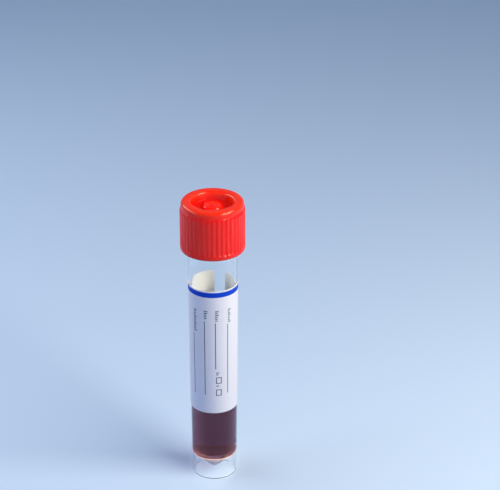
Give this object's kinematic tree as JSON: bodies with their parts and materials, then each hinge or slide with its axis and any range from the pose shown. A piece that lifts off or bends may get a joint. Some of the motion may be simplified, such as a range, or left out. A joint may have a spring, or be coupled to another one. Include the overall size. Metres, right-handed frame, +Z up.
{
  "type": "specimen swab tube",
  "caption": "Clear self-standing specimen tube with a ribbed screw cap, a seal ring, a wrapped paper label and a little red liquid medium.",
  "frame": {"origin": "on the resting plane, on the axis of the tube", "axes": "+Z up along the tube towards the cap, -Y towards the printed front of the label, +X to the right as the front is read"},
  "size_m": [0.0214, 0.0214, 0.101],
  "materials": {
    "clear_plastic": "clear moulded plastic, very slightly milky, polished by the mould",
    "red_liquid": "clear dark red water-like liquid",
    "label_paper": "smooth white label stock with a blue band and thin ruled lines",
    "seal_rubber": "plain off-white silicone",
    "red_plastic": "satin-gloss moulded red plastic"
  },
  "bodies": {
    "tube_body": {"tube": "clear_plastic", "medium": "red_liquid", "label": "label_paper"},
    "seal_carrier": {"seal_ring": "seal_rubber"},
    "cap_body": {"screw_cap": "red_plastic"}
  },
  "joints": [
    {"name": "cap_lift", "type": "slide", "parent": "tube_body", "child": "seal_carrier", "axis": [0, 0, 1], "range_m": [0, 0.0045]},
    {"name": "cap_turn", "type": "hinge", "parent": "seal_carrier", "child": "cap_body", "pos_m": [0, 0, 0.0925], "axis": [0, 0, 1], "range_deg": [0, 540]}
  ],
  "couplings": [
    {"joint": "cap_lift", "follows": "cap_turn", "m_per_rad": 0.00047746}
  ]
}
